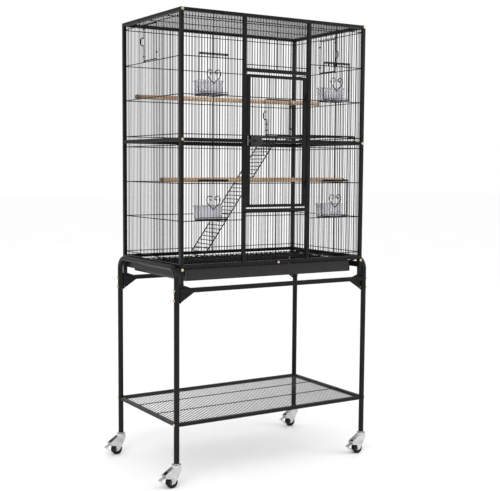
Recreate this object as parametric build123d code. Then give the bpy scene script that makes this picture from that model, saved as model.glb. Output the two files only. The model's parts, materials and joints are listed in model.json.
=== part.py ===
from build123d import *
import os
from math import cos, pi, sin, radians

# Bird cage on a rolling stand.  Millimetres.  +X to the cage's right, +Y to its back, +Z up.
# Every function below draws its piece with the cage's middle at x = 0.  save() then moves it all
# by CAGE_X, so the origin lies on the floor under the middle of the whole, casters included.

# ---- cage box ----
CAGE_W = 762.0
CAGE_D = 452.0
CAGE_TOP = 1590.0
POST_FOOT = 681.0
TUBE = 12.0
TUBE_WALL = 1.2                      # square tube of posts and rails
HALF_W = CAGE_W / 2
HALF_D = CAGE_D / 2
INNER_X = HALF_W - TUBE
INNER_Y = HALF_D - TUBE
MID_RAIL = 1157.5                # underside of the middle rails
LOW_RAIL = 738.0                 # underside of the bottom rails
TAB_T = 2.0                      # ears that bolt the rails to the posts
TAB_REACH = 10.0

# ---- wire work ----
WIRE = 2.0                       # upright wires
CROSS_WIRE = 3.0                 # horizontal wires
BRACE_WIRE = 3.5                 # the one stouter upright in the middle of a bay
WIRE_PITCH = 11.4
WIRE_PLANE_X = HALF_W - TUBE / 2
WIRE_PLANE_Y = HALF_D - TUBE / 2
CROSS_ROWS = (763.0, 894.0, 1019.0, 1145.0, 1182.0, 1312.0, 1436.0, 1565.0)
LAYER_GAP = 0.4                  # between a wire panel and a door that lies on it

# ---- front openings ----
DOOR_POST_X = 127.5              # inner side of the two posts beside the main door
DOOR_TOP_BAR = 1397.0            # underside of the bar above the main door
DOOR_LOW_BAR = 919.0             # underside of the bar below the main door
DOOR_HALF_W = 121.0
DOOR_TUBE = 10.0
DOOR_Z = (936.0, 1389.0)
DOOR_MID_RAIL = 1158.5
HINGE_X = 124.5
HINGE_Y = -231.0
HINGE_ROWS = (1017.0, 1320.0)    # middle of each hinge
HINGE_R = 3.5
PIN_R = 1.6
RUN_GAP = 0.06
KNUCKLE_H = 14.0
KNUCKLE_GAP = 0.3
LEAF_T = 2.0
LEAF_W = 10.0
SIDE_BRACE_Y = 85.0

# ---- latch of the main door ----
LATCH_Z = 1163.5
LATCH_BOLT_Y = -229.0
LATCH_PLATE_X = (-113.0, -69.5)
LATCH_PLATE_HALF_H = 17.0
LATCH_BOLT = (-125.1, -78.0)
LATCH_BOLT_T = 5.0
LATCH_BOLT_H = 10.0
LATCH_GAP = 0.1
LATCH_SLOT_X = (-108.0, -84.0)       # slot in the plate that the thumb stud moves in
LATCH_SLOT_HALF_H = 3.0
LATCH_STUD_X = -96.0
LATCH_STUD_R = 2.6
LATCH_STUD_OUT = 10.5
LATCH_HANDLE_X = (-104.0, -60.0)     # free end and bend of the wire handle
LATCH_HANDLE_Z = 1115.0
LATCH_HANDLE_R = (1.5, 2.0)          # hanging part, grip
KEEPER_T = 2.0
KEEPER_OUT = 8.0

# ---- feeder doors and cups ----
FEEDER_X = 255.0                 # middle of the left and right bays
FEEDER_W = 116.0
FEEDER_H = 136.0
FEEDER_ROWS = (896.0, 1314.0)    # sill of the lower and the upper feeder doors
FEEDER_OPEN_W = 102.0
FEEDER_T = 2.2
FEEDER_SIDE_WIRE = 2.0
FEEDER_BAR = 3.8                 # bent-out bars at the head and foot
FEEDER_BAR_OUT = 4.0
FEEDER_Y = -WIRE_PLANE_Y - WIRE / 2 - LAYER_GAP - FEEDER_T / 2
HEART_W = 54.0
HEART_LOW = 34.0
CUP = (96.0, 58.0, 48.0)
CUP_WALL = 2.0
CUP_RING_R = 1.5
CUP_RIM = 3.0
CUP_RIM_T = 2.0
RIM_DROP = 2.2                   # top of the flange below the cup's top edge
RING_INSET = 8.0                 # ring inside the cup's outline, so the cup stands on it
RING_ARM = 14.0                  # how far the ring's bar reaches past the cup

# ---- small hatches ----
HATCH_W = 100.0
HATCH_H = 126.0
HATCH_BAR = 3.8                  # flat bars along the head and foot
HATCH_OUT = WIRE / 2 + LAYER_GAP + WIRE / 2
HATCH_PIN = (54.0, -6.0)
HATCH_PIN_R = 1.5
HATCH_BARREL_R = 2.6
HATCH_BARRELS = (24.0, 102.0)
BARREL_H = 8.0
FOOT_H = 3.0
ROD_R = 1.75
ROD_SPOT = (-46.0, -5.4)
EYE_H = 6.0
EYE_HALF_W = 4.0
EYE_WALL = 2.8
SIDE_ROD_EYES = (17.0, 111.0)
FRONT_ROD_EYES = (17.0, 38.0)
ROD_FOOT = 0.4
SIDE_ROD_TOP = 137.4
BUMP_REACH = 13.0
BUMP_Z = (54.0, 80.0)
BUMP_CORNER = 5.0

# ---- fittings inside ----
PERCH_R = 8.0
PERCH_OVERHANG = 1.0
NOTCH_W = 4.4                        # slot that straddles an upright of the side wall
NOTCH_IN = 9.0
UPPER_PERCH = (88.0, 1321.8, -5.8)   # y of the middle, z, turn about the vertical in degrees
LOWER_PERCH = (-94.0, 1028.8, -3.5)
SHELF_X = (125.0, 362.0)             # the resting platform, left and right edge
SHELF_HALF_Y = 196.0
SHELF_Z = 1188.0
SHELF_T = 3.0
SHELF_RIM_Z = 1171.0                 # second wire hung below the front and back edges
SHELF_RIM_R = 1.5
SHELF_RIM_BEND = 8.0
HOOK_R = 2.0
HOOK_DROP = 9.0
HOOK_IN = 12.0
LADDER_HALF_Y = 52.0
LADDER_TOP_X = 121.0
LADDER_FOOT_X = -209.0
LADDER_FOOT_Z = 737.6
LADDER_RUNGS = 34
RUNG_R = 1.5
LADDER_RAIL_R = 2.0

# ---- floor of the cage ----
RUNNER_Z = (714.0, 727.0)
TRAY_HALF_X = 350.0
TRAY_HALF_Y = 202.0
TRAY_RIM = 15.0
TRAY_Z = (692.0, 730.6)
TRAY_WALL = 2.5
TRAY_CORNER = 12.0
TRAY_LIP = 2.5
GRATE_Z = 731.2
GRATE_HALF_X = 364.0
GRATE_HALF_Y = 211.0
TRAY_LATCH_X = 5.8
TRAY_LATCH_HALF_W = 6.0
TRAY_LATCH_Z = (735.2, 750.0)
TRAY_LATCH_T = 2.0
LATCH_SCREW_R = 2.0
LATCH_SCREW_DEPTH = 4.5
TRAY_SCREW_Z = 742.7

# ---- stand ----
LEG_X = 393.5
LEG_Y = 223.0
LEG_R = 9.5
LEG_WALL = 1.5
LEG_FOOT = 81.0
FRAME_TOP_Z = 738.5
BEND_R = 40.0
CROSSBAR = 15.0
CROSSBAR_Z = (656.0, 671.0)
GUSSET_Z = (622.0, 681.0)
GUSSET_T = 3.0
GUSSET_NOSE_X = (328.0, 338.5)   # where the gusset meets the underside and the top of the bar
GUSSET_SHELF_X = INNER_X - 2.0   # inner end of the ledge the cage stands on
END_PLATE = 3.0
STAND_BOLT_ROWS = (631.0, 664.0)
RACK_Z = (205.5, 217.5)          # rails of the low rack
RACK_BOLT_Z = 211.5
RACK_ROWS = (-77.0, 65.0)
BOLT_R = 2.5
BOLT_HOLE_R = 2.6
BOLT_HEAD_R = 5.0
BOLT_HEAD_H = 3.0

# ---- casters ----
WHEEL_R = 20.0
WHEEL_W = 18.0
HUB_R = 11.0
TRAIL = 19.0
STEM_R = 4.0
STEM_NUT = (64.2, 4.0)           # middle height and thickness of the nut under the fork
SWIVEL_R = 16.5
SWIVEL_Z = (67.0, 77.7)
PLUG_H = 30.0
FORK_T = 2.0
FORK_GAP = 1.0
AXLE_R = 3.0
FORK_CHEEK = [(13, 71), (13, 60), (-2, 31), (-12, 16), (-23.5, 14), (-25, 33), (-38, 36), (-47, 38),
              (-47, 49), (-13, 71)]
PEDAL_PIVOT = (-42.0, 43.0)      # x from the leg's middle, z
PEDAL_TIP = (-64.0, 30.0)
PEDAL_EDGE = (-41.5, 13.0)
PEDAL_TAB = (-54.0, 48.0)
PEDAL_HALF_W = 9.0
PEDAL_T = 2.4
PEDAL_BARREL_R = 3.4

# The pedals stand out further on the left than the swivel heads do on the right.
CAGE_X = (-PEDAL_TIP[0] + PEDAL_T / 2 - SWIVEL_R) / 2


def block(x, y, z):
    """A box from pairs of limits, in any order."""
    spans = [tuple(sorted(limits)) for limits in (x, y, z)]
    size = [high - low for low, high in spans]
    middle = tuple((low + high) / 2 for low, high in spans)
    return Pos(*middle) * Box(*size)


def hollow(x, y, z, axis):
    """A square tube along one axis, from pairs of limits."""
    def inside(limits, along):
        low, high = sorted(limits)
        return (low - 1, high + 1) if along else (low + TUBE_WALL, high - TUBE_WALL)
    return block(x, y, z) - block(inside(x, axis == "x"), inside(y, axis == "y"), inside(z, axis == "z"))


def rod(points, radius):
    """A round wire through the points, with a ball at each bend."""
    wire = None
    for start, end in zip(points, points[1:]):
        first = Vector(*start)
        along = Vector(*end) - first
        piece = Solid.make_cylinder(radius, along.length, Plane(origin=first, z_dir=along))
        wire = piece if wire is None else wire + piece
        wire = wire + Pos(*end) * Sphere(radius)
    return wire


def pin(centre, axis, radius, length):
    """A cylinder centred on a point, along X, Y or Z."""
    direction = {"x": (1, 0, 0), "y": (0, 1, 0), "z": (0, 0, 1)}[axis]
    start = Vector(*centre) - Vector(*direction) * (length / 2)
    return Solid.make_cylinder(radius, length, Plane(origin=start, z_dir=direction))


def spread(low, high, pitch=WIRE_PITCH):
    """Even places between two limits, none on the limits themselves."""
    gaps = round((high - low) / pitch)
    step = (high - low) / gaps
    return [low + step * i for i in range(1, gaps)]


def outline(points):
    """A closed wire in the sketch plane, without repeated points."""
    kept = [p for p, before in zip(points, [None] + points[:-1]) if p != before]
    if kept[0] == kept[-1]:
        kept.pop()
    return Wire.make_polygon([(u, v, 0) for u, v in kept])


def wire_panel(u_span, v_span, uprights, rows, braces=(), windows=()):
    """Flat welded wire work as a face: uprights reach the v limits and rows reach the u limits.

    A window is (u low, u high, v low, v high): the uprights that fall inside it are left out.
    """
    half = {u: (BRACE_WIRE if u in braces else WIRE) / 2 for u in uprights}
    row = CROSS_WIRE / 2
    first, last = uprights[0], uprights[-1]
    bottom, top = rows[0] - row, rows[-1] + row
    edge = []
    for u in uprights:
        edge += [(u - half[u], bottom), (u - half[u], v_span[0])]
        edge += [(u + half[u], v_span[0]), (u + half[u], bottom)]
    for v in rows:
        side = last + half[last]
        edge += [(side, v - row), (u_span[1], v - row), (u_span[1], v + row), (side, v + row)]
    for u in reversed(uprights):
        edge += [(u + half[u], top), (u + half[u], v_span[1])]
        edge += [(u - half[u], v_span[1]), (u - half[u], top)]
    for v in reversed(rows):
        side = first - half[first]
        edge += [(side, v + row), (u_span[0], v + row), (u_span[0], v - row), (side, v - row)]
    holes = []
    for low, high in zip(rows, rows[1:]):
        cuts = [w for w in windows if w[2] <= (low + high) / 2 <= w[3]]
        kept = [u for u in uprights if not any(w[0] < u < w[1] for w in cuts)]
        for left, right in zip(kept, kept[1:]):
            u0, u1 = left + half[left], right - half[right]
            v0, v1 = low + row, high - row
            holes.append(outline([(u0, v0), (u1, v0), (u1, v1), (u0, v1)]))
    return Face(outline(edge), holes)


def framed_panel(u_span, v_span, uprights, rows, side_wire=CROSS_WIRE, end_wire=CROSS_WIRE):
    """Wire work inside a border; its side wires and its end wires may differ in width."""
    low_u, high_u = u_span
    low_v, high_v = v_span
    columns = [(low_u, low_u + side_wire)]
    columns += [(u - WIRE / 2, u + WIRE / 2) for u in uprights]
    columns += [(high_u - side_wire, high_u)]
    levels = [(low_v, low_v + end_wire)]
    levels += [(v - CROSS_WIRE / 2, v + CROSS_WIRE / 2) for v in rows]
    levels += [(high_v - end_wire, high_v)]
    edge = outline([(low_u, low_v), (high_u, low_v), (high_u, high_v), (low_u, high_v)])
    holes = []
    for below, above in zip(levels, levels[1:]):
        v0, v1 = below[1], above[0]
        for left, right in zip(columns, columns[1:]):
            u0, u1 = left[1], right[0]
            holes.append(outline([(u0, v0), (u1, v0), (u1, v1), (u0, v1)]))
    return Face(edge, holes)


def front_sheet(face, y, thickness=WIRE):
    """Stand a flat panel up facing the front, its middle at y; u runs along X and v along Z."""
    plane = Plane(origin=(0, y + thickness / 2, 0), x_dir=(1, 0, 0), z_dir=(0, -1, 0))
    return extrude(plane * face, thickness, dir=plane.z_dir)


def side_sheet(face, x, thickness=WIRE):
    """Stand a flat panel up facing the side, its middle at x; u runs along Y and v along Z."""
    plane = Plane(origin=(x - thickness / 2, 0, 0), x_dir=(0, 1, 0), z_dir=(1, 0, 0))
    return extrude(plane * face, thickness, dir=plane.z_dir)


def level_sheet(face, z, thickness=WIRE):
    """Lay a flat panel down with its underside at z; u runs along X and v along Y."""
    return extrude(Pos(0, 0, z) * face, thickness, dir=(0, 0, 1))


# ---------------------------------------------------------------- cage frame

def cage_bolt_places():
    """Rows of the bolts through each corner post."""
    return (LOW_RAIL - 5.0, MID_RAIL + TUBE / 2, CAGE_TOP - TUBE / 2)


def corner_posts():
    posts = []
    for sx in (-1, 1):
        for sy in (-1, 1):
            span_x, span_y = (sx * INNER_X, sx * HALF_W), (sy * INNER_Y, sy * HALF_D)
            post = hollow(span_x, span_y, (POST_FOOT, CAGE_TOP), "z")
            for z in cage_bolt_places():
                post -= pin((sx * WIRE_PLANE_X, sy * WIRE_PLANE_Y, z), "y", BOLT_HOLE_R, TUBE * 2)
            posts.append(post)
    return posts


def rail_tabs(sx_list, sy, z_span):
    """Flat ears welded behind the ends of a rail; they lap the back of the corner posts."""
    tabs = []
    for sx in sx_list:
        low, high = z_span
        depth = (sy * INNER_Y, sy * (INNER_Y - TAB_T))
        tab = block((sx * HALF_W, sx * (INNER_X - TAB_REACH)), depth, (high - TUBE, high))
        if high - low > TUBE:
            tab += block((sx * HALF_W, sx * (INNER_X - 1.0)), depth, z_span)
        bolt_z = min(cage_bolt_places(), key=lambda z: abs(z - (low + high) / 2))
        tab -= pin((sx * WIRE_PLANE_X, sy * INNER_Y, bolt_z), "y", BOLT_HOLE_R, TUBE)
        tabs.append(tab)
    return tabs


def cross_rail(sy, x_span, z_low, tab_sides, tab_low):
    rail = hollow(x_span, (sy * INNER_Y, sy * HALF_D), (z_low, z_low + TUBE), "x")
    for tab in rail_tabs(tab_sides, sy, (tab_low, z_low + TUBE)):
        rail += tab
    return rail


def long_rails(sy):
    """Top and bottom rails that run the whole width."""
    whole = (-INNER_X, INNER_X)
    top = cross_rail(sy, whole, CAGE_TOP - TUBE, (-1, 1), CAGE_TOP - TUBE)
    bottom = cross_rail(sy, whole, LOW_RAIL, (-1, 1), LOW_RAIL - 2 * 5.0)
    return [top, bottom]


def front_rails():
    rails = long_rails(-1)
    outer_post = DOOR_POST_X + TUBE
    for sx in (-1, 1):
        rails.append(cross_rail(-1, (sx * outer_post, sx * INNER_X), MID_RAIL, (sx,), MID_RAIL))
    for z in (DOOR_TOP_BAR, DOOR_LOW_BAR):
        rails.append(hollow((-DOOR_POST_X, DOOR_POST_X), (-HALF_D, -INNER_Y), (z, z + TUBE), "x"))
    rails[1] -= pin((TRAY_LATCH_X, -HALF_D, TRAY_SCREW_Z), "y", LATCH_SCREW_R, TUBE)
    return rails


def back_rails():
    return long_rails(1) + [cross_rail(1, (-INNER_X, INNER_X), MID_RAIL, (-1, 1), MID_RAIL)]


def side_rails():
    end = INNER_Y - TAB_T
    levels = (LOW_RAIL, MID_RAIL, CAGE_TOP - TUBE)
    return [hollow((sx * INNER_X, sx * HALF_W), (-end, end), (z, z + TUBE), "y")
            for sx in (-1, 1) for z in levels]


def tray_runners():
    """An angle along each side: the tray's rim slides on its ledge."""
    ledge, web = 2.0, 3.0
    low, high = RUNNER_Z
    runners = []
    for sx in (-1, 1):
        outer = HALF_W - 2.0
        runner = block((sx * (TRAY_HALF_X + 4), sx * outer), (-INNER_Y, INNER_Y), (high - ledge, high))
        runner += block((sx * (outer - web), sx * outer), (-INNER_Y, INNER_Y), (low - 8.0, high))
        runners.append(runner)
    return runners


def door_posts():
    posts = []
    for sx in (-1, 1):
        span = (sx * DOOR_POST_X, sx * (DOOR_POST_X + TUBE))
        posts.append(hollow(span, (-HALF_D, -INNER_Y), (LOW_RAIL + TUBE, CAGE_TOP - TUBE), "z"))
    return posts


def latch_keeper():
    """Plate on the post with a hole the door's bolt shoots into."""
    half_t = LATCH_BOLT_T / 2 + LATCH_GAP
    half_h = LATCH_BOLT_H / 2 + LATCH_GAP
    keeper = block((-DOOR_POST_X, -DOOR_POST_X + KEEPER_T), (-HALF_D - KEEPER_OUT, -INNER_Y),
                   (LATCH_Z - LATCH_PLATE_HALF_H, LATCH_Z + LATCH_PLATE_HALF_H))
    hole = block((-DOOR_POST_X - 1, -DOOR_POST_X + KEEPER_T + 1),
                 (LATCH_BOLT_Y - half_t, LATCH_BOLT_Y + half_t), (LATCH_Z - half_h, LATCH_Z + half_h))
    return [keeper - hole]


# ---------------------------------------------------------------- wire walls

UPPER = (MID_RAIL + TUBE, CAGE_TOP - TUBE)
LOWER = (LOW_RAIL + TUBE, MID_RAIL)


def rows_in(span):
    return [z for z in CROSS_ROWS if span[0] < z < span[1]]


def nearest(places, target):
    return min(places, key=lambda place: abs(place - target))


def bay_panel(sx, span):
    """Left or right front bay, with the window behind its feeder door."""
    limits = sorted((sx * (DOOR_POST_X + TUBE), sx * INNER_X))
    uprights = spread(*limits)
    brace = nearest(uprights, sx * FEEDER_X)
    half = FEEDER_OPEN_W / 2
    rows = rows_in(span)
    sill = nearest(rows, FEEDER_ROWS[0] if span is LOWER else FEEDER_ROWS[1])
    window = (sx * FEEDER_X - half, sx * FEEDER_X + half, sill, sill + FEEDER_H)
    return wire_panel(limits, span, uprights, rows, braces=(brace,), windows=(window,))


def front_grilles():
    panels = [front_sheet(bay_panel(sx, span), -WIRE_PLANE_Y) for sx in (-1, 1) for span in (LOWER, UPPER)]
    limits = (-DOOR_POST_X, DOOR_POST_X)
    uprights = spread(*limits)
    brace = (nearest(uprights, 0),)
    above = (DOOR_TOP_BAR + TUBE, CAGE_TOP - TUBE)
    below = (LOW_RAIL + TUBE, DOOR_LOW_BAR)
    for span, rows in ((above, (above[0] + 12, CROSS_ROWS[-1])), (below, (CROSS_ROWS[0], below[1] - 12))):
        panels.append(front_sheet(wire_panel(limits, span, uprights, rows, braces=brace), -WIRE_PLANE_Y))
    return panels


def back_grilles():
    limits = (-INNER_X, INNER_X)
    uprights = spread(*limits)
    braces = [nearest(uprights, x) for x in (-FEEDER_X, 0, FEEDER_X)]
    return [front_sheet(wire_panel(limits, span, uprights, rows_in(span), braces=braces), WIRE_PLANE_Y)
            for span in (LOWER, UPPER)]


def side_uprights():
    return spread(-INNER_Y, INNER_Y)


def side_grilles():
    uprights = side_uprights()
    braces = [nearest(uprights, y) for y in (-SIDE_BRACE_Y, SIDE_BRACE_Y)]
    half = HATCH_W / 2
    window = (-half, half, CROSS_ROWS[-2], CROSS_ROWS[-1])
    panels = []
    for sx in (-1, 1):
        for span in (LOWER, UPPER):
            rows = rows_in(span)
            face = wire_panel((-INNER_Y, INNER_Y), span, uprights, rows, braces=braces, windows=(window,))
            panels.append(side_sheet(face, sx * WIRE_PLANE_X))
    return panels


def top_grille():
    uprights = spread(-INNER_X, INNER_X)
    rows = (-200.0, -67.0, 67.0, 200.0)
    face = wire_panel((-INNER_X, INNER_X), (-INNER_Y, INNER_Y), uprights, rows)
    return [level_sheet(face, CAGE_TOP - TUBE / 2)]


def cage_bolts():
    """Bolts through the posts into the rail ears, and the screw the tray latch turns on."""
    bolts = []
    for sx in (-1, 1):
        for sy in (-1, 1):
            for z in cage_bolt_places():
                x = sx * WIRE_PLANE_X
                head = pin((x, sy * (HALF_D + BOLT_HEAD_H / 2), z), "y", BOLT_HEAD_R, BOLT_HEAD_H)
                shank = pin((x, sy * (WIRE_PLANE_Y - 1), z), "y", BOLT_R, TUBE + 2)
                bolts.append(head + shank)
    screw = pin((TRAY_LATCH_X, -HALF_D, TRAY_SCREW_Z), "y", LATCH_SCREW_R, 2 * LATCH_SCREW_DEPTH)
    head_y = -HALF_D - TRAY_LATCH_T - 0.6 - BOLT_HEAD_H / 2
    bolts.append(screw + pin((TRAY_LATCH_X, head_y, TRAY_SCREW_Z), "y", BOLT_HEAD_R - 1, BOLT_HEAD_H))
    return bolts


# ---------------------------------------------------------------- main door

def door_frame():
    low, high = DOOR_Z
    depth = (-WIRE_PLANE_Y - DOOR_TUBE / 2, -WIRE_PLANE_Y + DOOR_TUBE / 2)
    inner = DOOR_HALF_W - DOOR_TUBE
    frame = block((-DOOR_HALF_W, DOOR_HALF_W), depth, (low, high))
    frame -= block((-inner, inner), (-HALF_D, -INNER_Y), (low + DOOR_TUBE, DOOR_MID_RAIL))
    frame -= block((-inner, inner), (-HALF_D, -INNER_Y), (DOOR_MID_RAIL + DOOR_TUBE, high - DOOR_TUBE))
    wall = TUBE_WALL
    hollow_depth = (depth[0] + wall, depth[1] - wall)
    for sx in (-1, 1):
        hollow_width = (sx * (inner + wall), sx * (DOOR_HALF_W - wall))
        frame -= block(hollow_width, hollow_depth, (low + wall, high - wall))
    for z in (low, DOOR_MID_RAIL, high - DOOR_TUBE):
        frame -= block((-inner, inner), hollow_depth, (z + wall, z + DOOR_TUBE - wall))
    return [frame]


def door_grilles():
    inner = DOOR_HALF_W - DOOR_TUBE
    lower = (DOOR_Z[0] + DOOR_TUBE, DOOR_MID_RAIL)
    upper = (DOOR_MID_RAIL + DOOR_TUBE, DOOR_Z[1] - DOOR_TUBE)
    uprights = spread(-inner, inner)
    brace = (nearest(uprights, 0),)
    sill, head = rows_in(upper)
    window = (-HATCH_W / 2, HATCH_W / 2, sill, head)
    panels = []
    for span, rows in ((lower, rows_in(lower)), (upper, (sill, head))):
        face = wire_panel((-inner, inner), span, uprights, rows, braces=brace, windows=(window,))
        panels.append(front_sheet(face, -WIRE_PLANE_Y))
    return panels


def knuckle(z_span, side, leaf_x, leaf_y):
    """A hinge barrel joined to its leaf; side is -1 for the door and 1 for the post."""
    low, high = z_span
    middle = (HINGE_X, HINGE_Y, (low + high) / 2)
    arm = block((HINGE_X, leaf_x), (HINGE_Y + 1.0, leaf_y), z_span)
    leaf = block((leaf_x, leaf_x + side * LEAF_W), (leaf_y, leaf_y - LEAF_T), z_span)
    return pin(middle, "z", HINGE_R, high - low) + arm + leaf


def door_hinges():
    """The door's half of each hinge, bored for the pintle."""
    knuckles = []
    face = -WIRE_PLANE_Y - DOOR_TUBE / 2
    for z in HINGE_ROWS:
        half = knuckle((z + KNUCKLE_GAP, z + KNUCKLE_H), -1, DOOR_HALF_W, face)
        knuckles.append(half - pin((HINGE_X, HINGE_Y, z), "z", PIN_R + RUN_GAP, 4 * KNUCKLE_H))
    return knuckles


def post_pintles():
    """The post's half of each hinge, with the pin the door hangs on."""
    pintles = []
    for z in HINGE_ROWS:
        half = knuckle((z - KNUCKLE_H, z), 1, DOOR_POST_X, -HALF_D)
        pintles.append(half + pin((HINGE_X, HINGE_Y, z + KNUCKLE_H / 2), "z", PIN_R, KNUCKLE_H))
    return pintles


def latch_plate():
    """Plate on the door with a straight channel for the bolt."""
    face = -WIRE_PLANE_Y - DOOR_TUBE / 2
    plate = block(LATCH_PLATE_X, (face, LATCH_BOLT_Y - LATCH_BOLT_T / 2 - 1.5),
                  (LATCH_Z - LATCH_PLATE_HALF_H, LATCH_Z + LATCH_PLATE_HALF_H))
    half_t = LATCH_BOLT_T / 2 + LATCH_GAP
    half_h = LATCH_BOLT_H / 2 + LATCH_GAP
    channel = (LATCH_PLATE_X[0] - 1, LATCH_PLATE_X[1] + 1)
    plate -= block(channel, (LATCH_BOLT_Y - half_t, LATCH_BOLT_Y + half_t),
                   (LATCH_Z - half_h, LATCH_Z + half_h))
    slot = block(LATCH_SLOT_X, (LATCH_BOLT_Y - 20, LATCH_BOLT_Y),
                 (LATCH_Z - LATCH_SLOT_HALF_H, LATCH_Z + LATCH_SLOT_HALF_H))
    return [plate - slot]


def latch_bolt():
    """Sliding bolt with a thumb stud and a hanging wire handle."""
    y = LATCH_BOLT_Y
    half_t, half_h = LATCH_BOLT_T / 2, LATCH_BOLT_H / 2
    bolt = block(LATCH_BOLT, (y - half_t, y + half_t), (LATCH_Z - half_h, LATCH_Z + half_h))
    bolt += pin((LATCH_STUD_X, y - LATCH_STUD_OUT / 2, LATCH_Z), "y", LATCH_STUD_R, LATCH_STUD_OUT)
    free_end, bend = LATCH_HANDLE_X
    hanging_r, grip_r = LATCH_HANDLE_R
    corner = (bend, y, LATCH_HANDLE_Z)
    hanging = rod([(LATCH_BOLT[1] - 1, y, LATCH_Z), (bend, y, LATCH_Z), corner], hanging_r)
    return [bolt + hanging + rod([corner, (free_end, y, LATCH_HANDLE_Z)], grip_r)]


# ---------------------------------------------------------------- feeder doors and cups

def heart_face(scale):
    """A filled heart, point down, about its own middle."""
    points = []
    for step in range(36):
        t = 2 * pi * step / 36
        across = 16 * sin(t) ** 3
        up = 13 * cos(t) - 5 * cos(2 * t) - 2 * cos(3 * t) - cos(4 * t)
        points.append((across * scale, (up + 3) * scale))
    return Face(outline(points))


def feeder_door(sx, row):
    """Wire door that lifts: thin sides, bent-out bars at the head and foot, and a heart."""
    low = FEEDER_ROWS[row]
    high = low + FEEDER_H
    left = sx * FEEDER_X - FEEDER_W / 2
    right = left + FEEDER_W
    panel = framed_panel((left, right), (low, high), spread(left, right), (low + 2 * FEEDER_BAR,),
                         FEEDER_SIDE_WIRE, FEEDER_BAR)
    door = front_sheet(panel, FEEDER_Y, FEEDER_T)
    scale = HEART_W / 32.0
    heart = heart_face(scale) - heart_face(scale - 2 * CROSS_WIRE / 32.0)
    centre = Pos(sx * FEEDER_X, low + HEART_LOW + 14 * scale, 0)
    door += front_sheet(centre * heart, FEEDER_Y, FEEDER_T)
    for z in (low, high - FEEDER_BAR):
        door += block((left, right), (FEEDER_Y - FEEDER_BAR_OUT, FEEDER_Y), (z, z + FEEDER_BAR))
    return [door]


def cup_spot(sx, row):
    """Middle of a cup in X and the height of its rim."""
    return sx * FEEDER_X, FEEDER_ROWS[row] + CUP[2]


def cup_rings():
    """Wire rings welded behind the front wire work; one cup stands on each."""
    rings = []
    front = -WIRE_PLANE_Y + WIRE / 2 + CUP_RING_R
    half = CUP[0] / 2 - RING_INSET
    back = front + CUP[1] - RING_INSET
    for sx in (-1, 1):
        for row in (0, 1):
            x, rim = cup_spot(sx, row)
            z = rim - CUP[2] - 0.3 - CUP_RING_R
            bar = rod([(x - half - RING_ARM, front, z), (x + half + RING_ARM, front, z)], CUP_RING_R)
            corners = [(x - half, front, z), (x - half, back, z), (x + half, back, z), (x + half, front, z)]
            rings.append(bar + rod(corners, CUP_RING_R))
    return rings


def cup(sx, row):
    """Open cup with a flange round its mouth."""
    x, rim = cup_spot(sx, row)
    half = CUP[0] / 2 - CUP_RING_R - 0.5
    front = -WIRE_PLANE_Y + WIRE / 2 + 2 * CUP_RING_R + 0.5
    back = front + CUP[1] - 1.0
    body = block((x - half, x + half), (front, back), (rim - CUP[2], rim))
    flange = (rim - RIM_DROP - CUP_RIM_T, rim - RIM_DROP)
    body += block((x - half - CUP_RIM, x + half + CUP_RIM), (front - 2.5, back + CUP_RIM), flange)
    body -= block((x - half + CUP_WALL, x + half - CUP_WALL), (front + CUP_WALL, back - CUP_WALL),
                  (rim - CUP[2] + CUP_WALL, rim + 1))
    return [body]


# ---------------------------------------------------------------- small hatches

def hatch_panel(eyes):
    """A small wire hatch facing the front, its sill at height zero and the wire wall at y = 0."""
    low, high = LAYER_GAP, HATCH_H - LAYER_GAP
    half = HATCH_W / 2
    face = framed_panel((-half, half), (low, high), spread(-half, half), (), WIRE, HATCH_BAR)
    hatch = front_sheet(face, -HATCH_OUT)
    pin_x, pin_y = HATCH_PIN
    rod_x, rod_y = ROD_SPOT
    for z in HATCH_BARRELS:
        hatch += pin((pin_x, pin_y, z), "z", HATCH_BARREL_R, BARREL_H)
        hatch += block((half - 1, pin_x - 1), (-HATCH_OUT, pin_y), (z - BARREL_H / 2, z + BARREL_H / 2))
    hatch -= pin((pin_x, pin_y, HATCH_H / 2), "z", HATCH_PIN_R + RUN_GAP, HATCH_H)
    for z in eyes:
        hatch += block((rod_x - EYE_HALF_W, rod_x + EYE_HALF_W), (-HATCH_OUT, rod_y - EYE_WALL),
                       (z - EYE_H / 2, z + EYE_H / 2))
    return hatch - pin((rod_x, rod_y, HATCH_H / 2), "z", ROD_R + RUN_GAP, HATCH_H)


def hatch_pin():
    """The fixed wire a hatch turns on, and the eye its rod drops into."""
    pin_x, pin_y = HATCH_PIN
    rod_x, rod_y = ROD_SPOT
    wall = -WIRE / 2
    turning = pin((pin_x, pin_y, HATCH_H / 2), "z", HATCH_PIN_R, HATCH_H + 2 * FOOT_H)
    for z in (-FOOT_H, HATCH_H):
        turning += block((pin_x - 1.5, pin_x + 1.5), (wall, pin_y), (z, z + FOOT_H))
    eye = block((rod_x - EYE_HALF_W, rod_x + EYE_HALF_W), (wall, rod_y - EYE_WALL), (-FOOT_H, 0))
    eye -= pin((rod_x, rod_y, 0), "z", ROD_R + 0.3, 4 * FOOT_H)
    return [turning, eye]


def hatch_rod(bump, top):
    """Latch rod with a finger bump that points along bump; it ends at top, or with the bump."""
    x, y = ROD_SPOT
    dx, dy = bump[0] * BUMP_REACH, bump[1] * BUMP_REACH
    near = (x + dx * 0.6, y + dy * 0.6)
    far = (x + dx, y + dy)
    low, high = BUMP_Z
    path = [(x, y, ROD_FOOT), (x, y, low), (*near, low), (*far, low + BUMP_CORNER)]
    path += [(*far, high - BUMP_CORNER), (*near, high), (x, y, high)]
    if top > high:
        path.append((x, y, top))
    return rod(path, ROD_R)


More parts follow.
